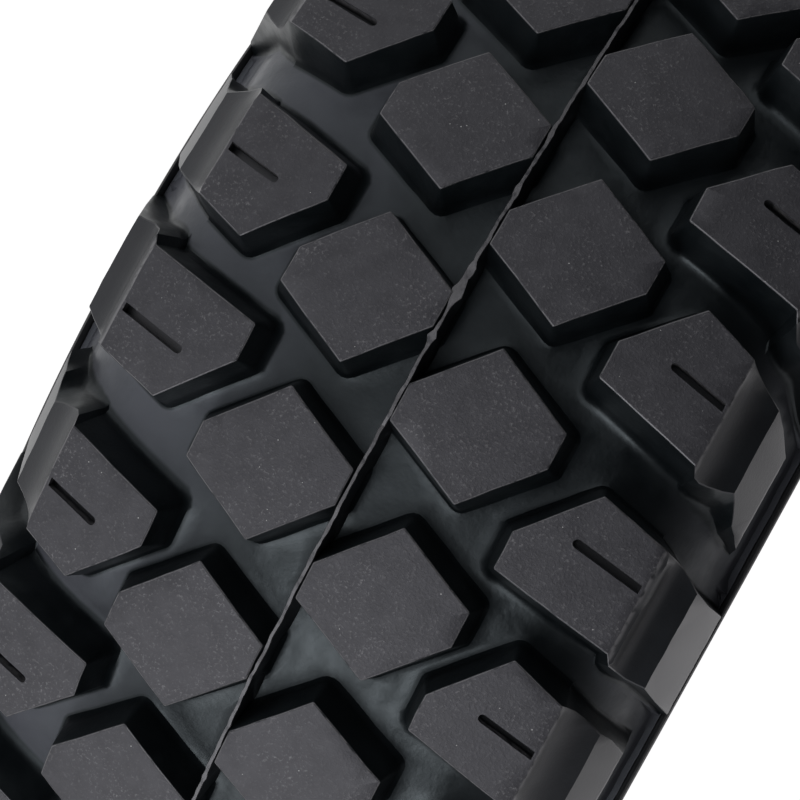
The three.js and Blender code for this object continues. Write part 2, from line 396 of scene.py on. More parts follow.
def slot_outline(edge):
    """The sipe's outline, clockwise, ending just short of the top's outer edge."""
    inner = SLOT_INNER
    outer = (SLOT_OUTER_S, edge - BEVEL - 0.1)
    way = unit(inner, outer)
    side = (way[1], -way[0])
    points = []
    for k in range(SLOT_ROUND + 1):
        angle = math.pi * k / SLOT_ROUND
        across = -math.cos(angle) * SLOT_HALF
        back = -math.sin(angle) * SLOT_HALF
        points.append((inner[0] + side[0] * across + way[0] * back,
                       inner[1] + side[1] * across + way[1] * back))
    left = points[0]
    right = points[-1]
    top_right = (right[0] + way[0] / way[1] * (outer[1] - right[1]), outer[1])
    top_left = (left[0] + way[0] / way[1] * (outer[1] - left[1]), outer[1])
    points += [part_way(right, top_right, k, SLOT_SIDE) for k in range(1, SLOT_SIDE + 1)]
    points += [part_way(left, top_left, k, SLOT_SIDE) for k in range(SLOT_SIDE, 0, -1)]
    return points


def wear_and_highlight_at(u, edge):
    """The mask value of a point: the flat top fully worn, the moulding trim beside it partly
    wear and partly a painted highlight.
    """
    if edge is None or u < edge + 0.1:
        return 1.0
    return TRIM_WEAR_AND_HIGHLIGHT if u < edge + 0.1 + TRIM else 0.0


def add_walls(tile, rim, ring, top, base, make):
    """Adds a block's bevel and walls below its rim. Returns the numbers of its foot points."""
    upper = rim
    for reach, depth in [(0, None)] + WALL:
        row = []
        for s, u, ns, nu, foot in ring:
            floor_r = floor_line.radius(base.radius(u) + nu * foot)
            top_r = top.radius(u)
            share = BEVEL_DROP / (top_r - floor_r) if depth is None else depth
            row.append(make(s + reach * ns * foot,
                            u + share * (base.radius(u) - u) + reach * nu * foot,
                            top_r + share * (floor_r - top_r),
                            -1.0 if reach > OPEN_FLOOR else 0.0))
        lower = tile.add(row)
        first = len(tile.faces)
        tile.bridge(upper, lower)
        if upper is rim:
            tile.raise_from(first)
        upper = lower
    return upper


def add_block(tile, ring, top, base, flip, shift, edge=None):
    """Adds one block and returns its foot loop as (number, s, w) on the groove floor. A
    shoulder block has an edge, where its flat top ends, and a sipe that stops short of it."""

    def make(s, u, r, wear_and_light):
        return placed((s, u, r, wear_and_light), flip, shift)

    inset = [(s - ns * BEVEL, u - nu * BEVEL) for s, u, ns, nu, _ in ring]
    rim = tile.add([make(s, u, top.radius(u), wear_and_highlight_at(u, edge)) for s, u in inset])
    foot = add_walls(tile, rim, ring, top, base, make)

    # The top. Rows of points keep a shoulder block's creases straight.
    outer = [(s, top.length(u)) for s, u in inset]
    low = (min(s for s, _ in outer), min(w for _, w in outer))
    high = (max(s for s, _ in outer), max(w for _, w in outer))
    scatter = grid(low, high, TOP_STEP, TOP_SEED)
    rows = []
    holes = []
    if edge is not None:
        scatter = [p for p in scatter if p[1] < top.length(edge) - COVE_MARGIN]
        columns = [low[0] + (high[0] - low[0]) * k / TOP_COLUMNS for k in range(TOP_COLUMNS + 1)]
        rows = [[(s, top.length(u)) for s in columns] for u, _ in top.points if u > edge - 0.01]
        slot = slot_outline(edge)
        holes = [[(s, top.length(u)) for s, u in slot]]
    extra, triangles = fill(outer, holes, scatter, TOP_CLEARANCE, rows)
    index = rim
    if edge is not None:
        lip = tile.add([make(s, u, top.radius(u), 1.0) for s, u in slot])
        index = rim + lip
        bottom = tile.add([make(s, u, top.radius(u) - SLOT_DEPTH, 0.0) for s, u in slot])
        first = len(tile.faces)
        tile.bridge(lip, bottom)
        tile.faces.append(bottom)
        tile.raise_from(first)
    u_of = Profile(list(zip(top.lengths, [u for u, _ in top.points])))
    new = []
    for s, w in extra:
        u = u_of.radius(w)
        new.append(make(s, u, top.radius(u), wear_and_highlight_at(u, edge)))
    index = index + tile.add(new)
    first = len(tile.faces)
    tile.faces += [[index[k] for k in triangle] for triangle in triangles]
    tile.raise_from(first)
    return [(i, tile.points[i][0], floor_line.length(tile.points[i][1])) for i in foot]


# The seam between periods winds through the grooves: (s, u) from the equator outwards.
seam_line = [
    (-5.68, 0), (-7.9, 1.0), (-9.5, 1.9), (-13.0, 5.0), (-14.8, 8.6), (-13.6, 11.5),
    (-11.9, 15), (-9.0, 19.8), (-8.5, 22), (-7.4, 26), (-6.0, 30), (-4.5, 34), (-3.1, 36),
    (-2.1, 38), (-0.9, 40), (0.7, 42), (1.2, 43.2), (1.8, 45), (2.2, LEDGE_U),
]


def seam():
    """The whole seam, from the lower side to the upper side, in (s, u)."""
    upper = [(s - PITCH, u) for s, u in seam_line]
    lower = [(ROW_SHIFT - s - PERIOD, -u) for s, u in seam_line]
    rough = lower[::-1] + upper[1:]
    path = [rough[0]]
    for a, b in zip(rough, rough[1:]):
        pieces = max(1, round(math.hypot(b[0] - a[0], b[1] - a[1]) / EDGE_STEP))
        path += [part_way(a, b, k, pieces) for k in range(1, pieces + 1)]
    return path


EDGE_COLUMNS = 26                 # steps around one period, at the tread's two edges
FLOOR_STEP = 2.3                  # between the points scattered over the groove floor
FLOOR_SEED = 5
FLOOR_CLEARANCE = 0.45            # between those points and a foot or the seam
FLAT_TO = 41                      # u where the scattered points give way to rows
SIDE_ROWS = (42.0, 42.8, 43.8, 44.6, 45.3, 45.7, 46.1, 46.5)
SIDE_STEP = 1.9                   # between the points of a row
SIDE_COLUMNS = 80
# The inner surface of the tread rubber, (u, r) from the edge towards the equator.
underside = [
    (46.6, 106.2), (42.9, 106.0), (41.6, 112.4), (38.4, 118.6), (33, 124.1),
    (22, 125.2), (11, 126.3),
]
UNDERSIDE_R = 127.3               # and its radius at the equator


def tread_tile():
    """One period of the tread rubber: its blocks, the floor between them and its underside."""
    tile = Tile()
    feet = []
    centre = rounded(centre_outline)
    long_ring = shoulder(long_inner, long_right, long_left)
    short_ring = shoulder(short_inner, short_right, short_left)
    for flip in (False, True):
        for shift in (-PITCH, 0):
            feet.append(add_block(tile, centre, centre_top, centre_base, flip, shift))
        start = -PERIOD if flip else 0
        feet.append(add_block(tile, long_ring, long_top, long_base, flip, start, LONG_EDGE))
        feet.append(add_block(tile, short_ring, short_top, short_base, flip, start + PITCH,
                              SHORT_EDGE))
    path = seam()
    w_of = floor_line.length
    left = tile.add([(s, u, floor_line.radius(u), -1.0) for s, u in path])
    right = tile.add([(s + PERIOD, u, floor_line.radius(u), -1.0) for s, u in path])
    low_edge = tile.add([(path[0][0] + PERIOD * k / EDGE_COLUMNS, path[0][1], LEDGE_R, -1.0)
                         for k in range(1, EDGE_COLUMNS)])
    high_edge = tile.add([(path[-1][0] + PERIOD * k / EDGE_COLUMNS, path[-1][1], LEDGE_R, -1.0)
                          for k in range(1, EDGE_COLUMNS)])
    border = left[::-1] + low_edge + right + high_edge[::-1]
    outer = [(tile.points[i][0], w_of(tile.points[i][1])) for i in border]
    holes = [[(s, w) for _, s, w in foot] for foot in feet]
    # The scatter reaches well past the border. Fill drops what lies outside it.
    scatter = grid((-60, -w_of(FLAT_TO)), (80, w_of(FLAT_TO)), FLOOR_STEP, FLOOR_SEED)
    for u in SIDE_ROWS:
        for side in (1, -1):
            scatter += [(-70 + SIDE_STEP * k, side * w_of(u)) for k in range(SIDE_COLUMNS)]
    extra, triangles = fill(outer, holes, scatter, FLOOR_CLEARANCE)
    u_of = Profile(list(zip(floor_line.lengths, [u for u, _ in floor_line.points])))
    new = []
    for s, w in extra:
        u = math.copysign(u_of.radius(w), w)
        new.append((s, u, floor_line.radius(u), -1.0))
    index = border + [i for foot in feet for i, _, _ in foot] + tile.add(new)
    tile.faces += [[index[k] for k in triangle] for triangle in triangles]

    # The underside, from the upper edge to the lower edge.
    line = underside + [(0, UNDERSIDE_R)] + [(-u, r) for u, r in underside[::-1]]
    rows = [[left[-1]] + high_edge + [right[-1]]]
    for u, r in line:
        part = (u + LEDGE_U) / (2 * LEDGE_U)
        start = path[0][0] + part * (path[-1][0] - path[0][0])
        rows.append(tile.add([(start + PERIOD * k / EDGE_COLUMNS, u, r, 0.0)
                              for k in range(EDGE_COLUMNS + 1)]))
    rows.append([left[0]] + low_edge + [right[0]])
    for upper, lower in zip(rows, rows[1:]):
        for k in range(EDGE_COLUMNS):
            tile.faces.append([upper[k + 1], upper[k], lower[k], lower[k + 1]])
    return tile


# ---- Pieces --------------------------------------------------------------------------
def to_metres(s, u, r):
    """The place of a point of the tread in the shared frame."""
    angle = s / TYRE_RADIUS
    return (r * math.cos(angle) * MM, r * math.sin(angle) * MM, (u + HALF_WIDTH) * MM)


def finished(name, mesh, material, sharp_from=30):
    """Makes a piece of the object from a mesh and says what it is. Edges that turn more than
    sharp_from degrees stay sharp."""
    piece = bpy.data.objects.new(name, mesh)
    bpy.context.scene.collection.objects.link(piece)
    for polygon in mesh.polygons:
        polygon.use_smooth = True
    mesh.set_sharp_from_angle(angle=math.radians(sharp_from))
    mesh.materials.append(material)
    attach(piece, "root")
    return piece


def face_outwards(mesh, join=0.0):
    """Turns a mesh's faces outwards, once points closer than join are made one."""
    build = bmesh.new()
    build.from_mesh(mesh)
    if join:
        bmesh.ops.remove_doubles(build, verts=build.verts, dist=join)
    bmesh.ops.recalc_face_normals(build, faces=build.faces)
    build.to_mesh(mesh)
    build.free()


def store_wear_and_light(mesh, wear_and_light):
    """Stores each point's mask of wear, painted highlight and painted light, for the materials.
    """
    layer = mesh.attributes.new("wear_and_light", "FLOAT", "POINT")
    layer.data.foreach_set("value", wear_and_light)


def wrapped(steps, count):
    """Quads that join each section of count points to the next, right round the tyre."""
    faces = []
    for k in range(steps):
        row = k * count
        after = (k + 1) % steps * count
        for i in range(count):
            j = (i + 1) % count
            faces.append([row + i, row + j, after + j, after + i])
    return faces


UNEVEN = 0.09                     # how far moulded edges wander
UNEVEN_SIZE = 2.6                 # and over what length
NOISE_SEED = 3
SEAM_GAP = 0.01                   # points of neighbouring periods closer than this are joined


def tread(material, groove_material):
    """The tread rubber: the same period again and again, then made a little uneven."""
    noise.seed_set(NOISE_SEED)    # without a seed, noise_vector differs from run to run
    tile = tread_tile()
    mesh = bpy.data.meshes.new("tread")
    count = len(tile.points)
    points = []
    faces = []
    wear_and_light = []
    for k in range(PERIODS):
        for s, u, r, top in tile.points:
            place = Vector(to_metres(s + k * PERIOD, u, r))
            points.append(place + noise.noise_vector(place / (UNEVEN_SIZE * MM)) * UNEVEN * MM)
            wear_and_light.append(top)
        faces += [[i + k * count for i in face] for face in tile.faces]
    mesh.from_pydata(points, [], faces)
    store_wear_and_light(mesh, wear_and_light)
    kinds = [0 if i in tile.raised else 1 for i in range(len(tile.faces))]
    mesh.polygons.foreach_set("material_index", kinds * PERIODS)
    face_outwards(mesh, SEAM_GAP * MM)
    piece = finished("tread", mesh, material)
    mesh.materials.append(groove_material)
    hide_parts("tread_cap")


# ---- Turned pieces -------------------------------------------------------------------
def curved(points, per):
    """A smooth line through the points, with this many steps between each two."""
    line = []
    for i in range(len(points) - 1):
        a = Vector(points[max(i - 1, 0)])
        b = Vector(points[i])
        c = Vector(points[i + 1])
        d = Vector(points[min(i + 2, len(points) - 1)])
        for k in range(per):
            t = k / per
            spot = 0.5 * (2 * b + (c - a) * t + (2 * a - 5 * b + 4 * c - d) * t**2
                          + (3 * b - a - 3 * c + d) * t**3)
            line.append((spot.x, spot.y))
    line.append(points[-1])
    return line


FINE_STEPS = 12 * BLOCKS          # round the tyre, for pieces seen up close
PLAIN_STEPS = 8 * BLOCKS


def turned(name, outline, side, steps, material, replaced):
    """Turns a closed (u, r) outline once around the axis. Side is -1 for the lower side."""
    mesh = bpy.data.meshes.new(name)
    points = []
    for k in range(steps):
        angle = 2 * math.pi * k / steps
        for u, r in outline:
            points.append((r * math.cos(angle) * MM, r * math.sin(angle) * MM,
                           (u * side + HALF_WIDTH) * MM))
    mesh.from_pydata(points, [], wrapped(steps, len(outline)))
    face_outwards(mesh)
    piece = finished(name, mesh, material, 35)
    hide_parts(replaced)


RIB_IN = 98.4                     # the flat rib that the tyre rests on
RIB_OUT = 108.2
RIM_LINE = 109.4                  # the thin moulding line at the tread's edge


def sidewall_outline():
    """The side rubber: a toe by the bead, a flank with thin ribs, then the rib by the tread."""
    flank = curved([(36.3, 71.4), (38.0, 74.4), (40.1, 78.4), (42.2, 83), (44.0, 87.6),
                    (45.4, 92), (46.2, 95.8)], 4)
    ribbed = []
    for i, (u, r) in enumerate(flank):
        ribbed.append((u, r))
        if 4 <= i <= 16 and i % 4 == 0:
            ribbed += [(u + 0.32, r + 0.16), (u + 0.44, r + 0.5), (u + 0.32, r + 0.72)]
    foot = [(31.4, 64.0), (32.6, 64.0), (33.3, 64.9), (33.7, 65.8), (34.5, 66.1),
            (35.3, 66.7), (35.6, 67.5), (35.4, 68.3), (35.0, 68.9), (35.3, 69.8)]
    rib = [(46.5, 97.0), (46.9, 97.7), (47.6, RIB_IN - 0.3), (HALF_WIDTH, RIB_IN),
           (HALF_WIDTH, 100), (47.75, 100.3), (47.75, 100.8), (HALF_WIDTH, 101.1),
           (HALF_WIDTH, 105.6), (47.75, 105.9), (47.75, 106.4), (HALF_WIDTH, 106.7),
           (HALF_WIDTH, RIB_OUT), (47.95, RIM_LINE - 0.5), (47.75, RIM_LINE - 0.1),
           (47.5, RIM_LINE), (47.25, RIM_LINE - 0.3), (47.05, RIM_LINE - 1),
           (46.98, 107.6), (46.95, 106.1), (46.5, 105.7), (42.4, 105.5)]
    inner = [(42.9, 98), (40.5, 88.8), (38.9, 80.4), (38.6, 78)]
    return foot + ribbed + rib + inner


BEAD = (24.75, 57.8)              # centre of the bead wire
BEAD_SPACE = 6                    # radius of the round room for the bead and what wraps it


def chafer_outline():
    """The skin that wraps the bead from heel to toe and leaves round room for it inside."""
    heel = [(32.2, 63.6), (31.75, 57.8), (31.75, 53.6), (31.6, 52.6), (31.1, 51.7),
            (30.4, 51.1), (29.6, 50.8)]
    seat = [(26, 50.5), (22, 50.2), (18.6, 49.9), (17.8, 49.8), (17.4, 50.1), (17.4, 51.2),
            (17.5, 54.5), (17.75, 57.8), (18.5, 60.9), (19.6, 63.6)]
    arc = []
    for k in range(13):
        angle = math.pi + math.pi * k / 12
        arc.append((BEAD[0] + BEAD_SPACE * math.cos(angle),
                    BEAD[1] + BEAD_SPACE * math.sin(angle)))
    return heel + seat + [(20.6, 63.1)] + arc + [(31.1, 63.6)]


LINER_OUT = 2.2                   # from the carcass's middle line to the liner's outer face
LINER_IN = 3.2                    # and to its inner face


def liner_outline():
    """The airtight lining: an even skin inside the carcass, from bead to bead."""
    half = [(23.2, 62.8), (26, 69), (36.5, 82), (42.4, 98), (39.8, 112.5), (31.5, 120.1),
            (0, 123.1)]
    line = half + [(-u, r) for u, r in half[-2::-1]]
    outer = []
    inner = []
    for i, (u, r) in enumerate(line):
        du, dr = unit(line[max(i - 1, 0)], line[min(i + 1, len(line) - 1)])
        outer.append((u - dr * LINER_OUT, r + du * LINER_OUT))
        inner.append((u - dr * LINER_IN, r + du * LINER_IN))
    return outer + curved(inner[::-1], 5)


FIN_STEPS = 30 * BLOCKS
FIN_HALF = 0.24                   # half its thickness at the top
FIN_DROP = 0.3                    # how far its top lies below the block tops
FIN_WEAR_AND_HIGHLIGHT = 0.75                   # its top is coloured between trim and a worn block top: dust and part painted highlight


def parting_fin(material):
    """The thin flash that the mould's parting line leaves around the equator. It sways, and
    its top is torn, chipped and here and there thicker."""
    mesh = bpy.data.meshes.new("parting_fin")
    floor_r = floor_line.radius(0)
    points = []
    wear_and_light = []
    for k in range(FIN_STEPS):
        angle = 2 * math.pi * k / FIN_STEPS
        spot = Vector((math.cos(angle), math.sin(angle), 0))
        sway = 0.16 * noise.noise(spot * 60) + 0.1 * noise.noise(spot * 190)
        torn = 0.25 * noise.noise(spot * 75 + Vector((5, 0, 0)))
        chip = max(0.0, noise.noise(spot * 45 + Vector((0, 9, 0))) - 0.3) * 1.6
        height = TYRE_RADIUS - FIN_DROP + torn - chip
        knob = max(0.0, noise.noise(spot * 38 + Vector((3, 0, 7))) - 0.38) * 1.6
        wide = FIN_HALF + 0.1 * noise.noise(spot * 150 + Vector((0, 0, 7))) + knob
        section = [
            (-0.7, floor_r - 0.3), (-0.42, floor_r + 0.5), (-wide - 0.04, height - 0.3),
            (-wide + 0.05, height), (wide - 0.05, height - 0.03), (wide + 0.04, height - 0.3),
            (0.42, floor_r + 0.5), (0.7, floor_r - 0.3),
        ]
        for u, r in section:
            points.append(to_metres(angle * TYRE_RADIUS, u + sway * (r > floor_r), r))
            wear_and_light.append(FIN_WEAR_AND_HIGHLIGHT * (r > height - 0.1))
    mesh.from_pydata(points, [], wrapped(FIN_STEPS, len(section)))
    store_wear_and_light(mesh, wear_and_light)
    face_outwards(mesh)
    finished("parting_fin", mesh, material, 40)


# ---- Materials -----------------------------------------------------------------------
# Rubber is nearly black. Dust, rubbing, painted highlights and painted light make it greyer.
CLEAN_DARK = (0.0018, 0.0026, 0.0034)
CLEAN_LIGHT = (0.0042, 0.0054, 0.0066)
DUSTY_DARK = (0.0118, 0.0117, 0.0142)
DUSTY_LIGHT = (0.0198, 0.0197, 0.0230)
GRAIN = (0.085, 0.083, 0.088)
# Edge colour: partly wear and partly a painted highlight on the bevels and trims.
RUBBED_AND_HIGHLIGHT = (0.10, 0.098, 0.103)
SPECK = (0.22, 0.22, 0.22)
GROOVE_DARK = (0.0016, 0.0024, 0.0030)
GROOVE_LIGHT = (0.0042, 0.0054, 0.0064)
FILM = (0.0085, 0.0105, 0.0124)
# Painted light: the open groove floor is made grey towards the tyre's two sides.
GROOVE_PAINTED_LIGHT = (0.052, 0.054, 0.064)
LOWER_PAINTED_LIGHT = (0.043, 0.014)      # heights in metres from no painted light to the full painted light
UPPER_PAINTED_LIGHT = (0.081, 0.091)
SIDE_DARK = (0.0085, 0.009, 0.0102)
SIDE_LIGHT = (0.0145, 0.0146, 0.016)
SIDE_DUST = (0.04, 0.039, 0.04)
BRONZE = (0.45, 0.34, 0.18)
BRONZE_STREAK = (0.26, 0.18, 0.09)


def smooth_ramp(tree, low, high, to_low, to_high):
    """A node that maps low..high smoothly to to_low..to_high."""
    node = tree.nodes.new("ShaderNodeMapRange")
    node.interpolation_type = "SMOOTHSTEP"
    node.inputs["From Min"].default_value = low
    node.inputs["From Max"].default_value = high
    node.inputs["To Min"].default_value = to_low
    node.inputs["To Max"].default_value = to_high
    return node


class Finish:
    """A principled material whose nodes are added in a few words."""

    def __init__(self, name, roughness=0.6, specular=0.4, metallic=0.0):
        self.material = bpy.data.materials.new(name)
        self.material.use_nodes = True
        self.nodes = self.material.node_tree.nodes
        self.links = self.material.node_tree.links
        self.shader = self.nodes["Principled BSDF"]
        self.shader.inputs["Specular IOR Level"].default_value = specular
        self.shader.inputs["Metallic"].default_value = metallic
        self.shader.inputs["Roughness"].default_value = roughness
        self.place = self.nodes.new("ShaderNodeTexCoord").outputs["Object"]

    def put(self, socket, value):
        """Links a socket to another one, or sets its value."""
        if isinstance(value, bpy.types.NodeSocket):
            self.links.new(value, socket)
        else:
            socket.default_value = value

    def noise(self, size, detail=2.0, rough=0.5):
        """Cloudy noise of about this size in millimetres, from 0 to 1."""
        node = self.nodes.new("ShaderNodeTexNoise")
        self.links.new(self.place, node.inputs["Vector"])
        node.inputs["Scale"].default_value = 1 / (size * MM)
        node.inputs["Detail"].default_value = detail
        node.inputs["Roughness"].default_value = rough
        return node.outputs["Fac"]

    def spots(self, size):
        """The distance to the nearest of many points, about this many millimetres apart."""
        node = self.nodes.new("ShaderNodeTexVoronoi")
        self.links.new(self.place, node.inputs["Vector"])
        node.inputs["Scale"].default_value = 1 / (size * MM)
        return node.outputs["Distance"]

    def axes(self):
        """The place as three numbers in metres: x, y and z."""
        node = self.nodes.new("ShaderNodeSeparateXYZ")
        self.links.new(self.place, node.inputs[0])
        return node.outputs

    def attribute(self, name):
        """A number stored on the mesh's points."""
        node = self.nodes.new("ShaderNodeAttribute")
        node.attribute_name = name
        return node.outputs["Fac"]

    def math(self, operation, a, b=0.0):
        """A sum on one or two values, each a socket or a number."""
        node = self.nodes.new("ShaderNodeMath")
        node.operation = operation
        self.put(node.inputs[0], a)
        self.put(node.inputs[1], b)
        return node.outputs[0]

    def times(self, a, b):
        """The product of two values."""
        return self.math("MULTIPLY", a, b)

    def ramp(self, value, low, high, to_low=0.0, to_high=1.0):
        """Maps low..high smoothly to to_low..to_high."""
        node = smooth_ramp(self.material.node_tree, low, high, to_low, to_high)
        self.put(node.inputs["Value"], value)
        return node.outputs["Result"]

    def mix(self, share, a, b):
        """Colour a where share is 0, colour b where it is 1."""
        node = self.nodes.new("ShaderNodeMix")
        node.data_type = "RGBA"
        self.put(node.inputs["Factor"], share)
        self.put(node.inputs[6], (*a, 1) if isinstance(a, tuple) else a)
        self.put(node.inputs[7], (*b, 1) if isinstance(b, tuple) else b)
        return node.outputs[2]

    def bump(self, height, depth):
        """Depth is in millimetres, for a height from 0 to 1."""
        node = self.nodes.new("ShaderNodeBump")
        node.inputs["Distance"].default_value = depth * MM
        self.put(node.inputs["Height"], height)
        self.links.new(node.outputs["Normal"], self.shader.inputs["Normal"])

    def colour(self, value):
        """Sets the base colour to a colour or a node's output."""
        self.put(self.shader.inputs["Base Color"], value)

    def roughness(self, value):
        """The same for the roughness."""
        self.put(self.shader.inputs["Roughness"], value)


def tread_rubber():
    """Moulded rubber: bluish black on coves and slots, dusty grey and grained on the tops, and
    lightest along the edges and trims, partly from wear and partly a painted highlight."""
    finish = Finish("tread_rubber", specular=0.42)
    wear_and_light = finish.attribute("wear_and_light")
    top = finish.ramp(wear_and_light, TRIM_WEAR_AND_HIGHLIGHT, 1)
    # The bevel and trim mask, for wear and a painted highlight.
    edge = finish.times(finish.ramp(wear_and_light, 0.15, TRIM_WEAR_AND_HIGHLIGHT), finish.ramp(wear_and_light, 1.0, 0.6))
    clouds = finish.noise(9, 4, 0.6)
    smears = finish.noise(2.6, 3, 0.6)
    grain = finish.noise(0.42, 3, 0.7)
    clean = finish.mix(finish.ramp(clouds, 0.3, 0.7), CLEAN_DARK, CLEAN_LIGHT)
    dusty = finish.mix(finish.ramp(smears, 0.25, 0.75), DUSTY_DARK, DUSTY_LIGHT)
    speckle = finish.times(finish.ramp(grain, 0.52, 0.75),
                           finish.ramp(clouds, 0.38, 0.68, 0.25, 1))
    dusty = finish.mix(speckle, dusty, GRAIN)
    colour = finish.mix(top, clean, dusty)
    # Edges get the lighter colour: partly wear, partly a painted highlight.
    edge = finish.times(edge, finish.ramp(finish.noise(1.1, 2), 0.28, 0.52))
    colour = finish.mix(finish.times(edge, 0.7), colour, RUBBED_AND_HIGHLIGHT)
    specks = finish.math("LESS_THAN", finish.spots(1.6), 0.055)
    chosen = finish.math("GREATER_THAN", finish.noise(3.1, 1), 0.58)
    specks = finish.times(finish.times(specks, chosen), top)
    finish.colour(finish.mix(specks, colour, SPECK))
    finish.shader.inputs["Specular Tint"].default_value = (0.93, 0.93, 1, 1)
    finish.roughness(finish.ramp(top, 0, 1, 0.4, 0.6))
    finish.bump(finish.times(grain, finish.ramp(top, 0, 1, 0.35, 1)), 0.08)
    return finish.material


def groove_rubber():
    """The same rubber where nothing rubs it: smooth from the mould and nearly black, with
    painted light, a grey lightening, on the open floor towards the tyre's two sides."""
    finish = Finish("groove_rubber", specular=0.26)
    clouds = finish.noise(12, 4, 0.6)
    film = finish.noise(3.5, 3, 0.6)
    colour = finish.mix(finish.ramp(clouds, 0.3, 0.7), GROOVE_DARK, GROOVE_LIGHT)
    colour = finish.mix(finish.ramp(film, 0.5, 0.8, 0, 0.3), colour, FILM)
    z = finish.axes()[2]
    # Painted light on the open floor, stronger towards the lower and upper sides of the tyre.
    lower = finish.ramp(z, *LOWER_PAINTED_LIGHT)
    upper = finish.ramp(z, *UPPER_PAINTED_LIGHT, 0, 0.6)
    painted_light = finish.times(finish.math("MAXIMUM", lower, upper),
                         finish.ramp(clouds, 0.2, 0.6, 0.6, 1))
    flat = finish.ramp(finish.attribute("wear_and_light"), -0.2, -1)
    finish.colour(finish.mix(finish.times(painted_light, flat), colour, GROOVE_PAINTED_LIGHT))
    finish.shader.inputs["Specular Tint"].default_value = (0.82, 0.93, 1, 1)
    finish.roughness(finish.ramp(film, 0.25, 0.75, 0.33, 0.46))
    finish.bump(finish.noise(0.7, 3), 0.03)
    return finish.material


def side_rubber():
    """Sidewall rubber: plain black with a little dust caught in its grain."""
    finish = Finish("sidewall_rubber", specular=0.45)
    clouds = finish.noise(14, 4, 0.6)
    grain = finish.noise(0.5, 2, 0.6)
    colour = finish.mix(finish.ramp(clouds, 0.3, 0.7), SIDE_DARK, SIDE_LIGHT)
    dust = finish.times(finish.ramp(grain, 0.55, 0.8), finish.ramp(clouds, 0.5, 0.8))
    finish.colour(finish.mix(dust, colour, SIDE_DUST))
    finish.roughness(finish.ramp(clouds, 0.2, 0.8, 0.45, 0.58))
    finish.bump(grain, 0.02)
    return finish.material


FABRIC_RADIUS = 60                # where a fabric's cords are a pitch apart round the tyre


def coated_fabric(name, low, high, pitch, square=False):
    """Rubber-coated cord or cloth. Cords a pitch apart in millimetres run on the slant, or
    in a square weave both ways."""
    finish = Finish(name, specular=0.3)
    x, y, z = finish.axes()
    angle = finish.math("ARCTAN2", y, x)
    along = finish.times(angle, FABRIC_RADIUS / pitch)
    level = finish.times(z, 2 * math.pi / (pitch * MM))
    turns = finish.times(along, 2 * math.pi)
    cords = finish.math("SINE", finish.math("ADD", turns, level))
    if square:
        cords = finish.times(finish.math("SINE", turns), finish.math("SINE", level))
    ribs = finish.ramp(cords, -1, 1)
    clouds = finish.noise(6, 3)
    colour = finish.mix(ribs, low, high)
    finish.colour(finish.mix(finish.ramp(clouds, 0.3, 0.8, 0, 0.5), colour, low))
    finish.roughness(finish.ramp(clouds, 0.2, 0.8, 0.62, 0.78))
    finish.bump(ribs, 0.12)
    return finish.material


def inner_rubber(name, low, high, rough):
    """Rubber inside the tyre, never touched by the road, between two colours."""
    finish = Finish(name, specular=0.4)
    clouds = finish.noise(11, 4, 0.6)
    finish.colour(finish.mix(finish.ramp(clouds, 0.3, 0.7), low, high))
    finish.roughness(finish.ramp(clouds, 0.2, 0.8, rough, rough + 0.12))
    finish.bump(finish.noise(0.8, 2), 0.03)
    return finish.material


WIRE_PITCH = 0.96                 # between the turns of wire in a bead


def plated_wire():
    """Bronze-plated bead wire: fine turns of wire with drawn streaks."""
    finish = Finish("bead_wire", roughness=0.35, specular=0.5, metallic=1.0)
    z = finish.axes()[2]
    turns = finish.math("SINE", finish.times(z, 2 * math.pi / (WIRE_PITCH * MM)))
    streaks = finish.noise(1.2, 4, 0.7)
    finish.colour(finish.mix(finish.ramp(streaks, 0.3, 0.75), BRONZE, BRONZE_STREAK))
    finish.roughness(finish.ramp(streaks, 0.2, 0.8, 0.28, 0.45))
    finish.bump(finish.ramp(turns, -1, 1), 0.15)
    return finish.material


def stage_white():
    """Plain pale floor, lit a little from below like a light table."""
    finish = Finish("floor", roughness=0.8, specular=0.2)
    finish.colour((0.5, 0.5, 0.5, 1))
    finish.shader.inputs["Emission Color"].default_value = (1, 1, 1, 1)
    finish.shader.inputs["Emission Strength"].default_value = FLOOR_GLOW
    return finish.material


# ---- Stage, in metres and watts ------------------------------------------------------
FLOOR_HALF = 6
FLOOR_GLOW = 1.0
KEY_POWER = 0.85
LOW_POWER = 0.3
BACKDROP = 1.03                   # brightness of the white sweep behind the tyre
ROOM = 0.06                       # brightness of the room in front of the tyre
ROOM_AZIMUTH = -5                 # degrees, the middle of the dim room
ROOM_END = -0.5                   # the room is dim up to this cosine from the backdrop's middle
BACKDROP_START = 0.76             # and the backdrop is full from this one
SKY = 0.78                        # brightness overhead, as a share of what is lower down
SKY_START = 0.35                  # upward part of the direction where that dimming begins
SKY_FULL = 0.85                   # and where it is complete

# The camera's place round the axis, and the point it looks at.
EYE_RADIUS = 0.39785
EYE_AZIMUTH = 32.276              # degrees
EYE_HEIGHT = 0.08924
EYE_AIM = (0.115413, 0.071943, 0.048427)
EYE_ROLL = 118.853                # degrees
EYE_LENS = 97.3                   # millimetres


def area(name, place, aim, size, power):
    """A rectangular lamp that lights the tyre but isn't seen itself."""
    light = bpy.data.lights.new(name, "AREA")
    light.shape = "RECTANGLE"
    light.size = size[0]
    light.size_y = size[1]
    light.energy = power
    lamp = bpy.data.objects.new(name, light)
    lamp.location = place
    lamp.visible_camera = False
    lamp.rotation_euler = (Vector(aim) - Vector(place)).to_track_quat("-Z", "Y").to_euler()
    bpy.context.scene.collection.objects.link(lamp)


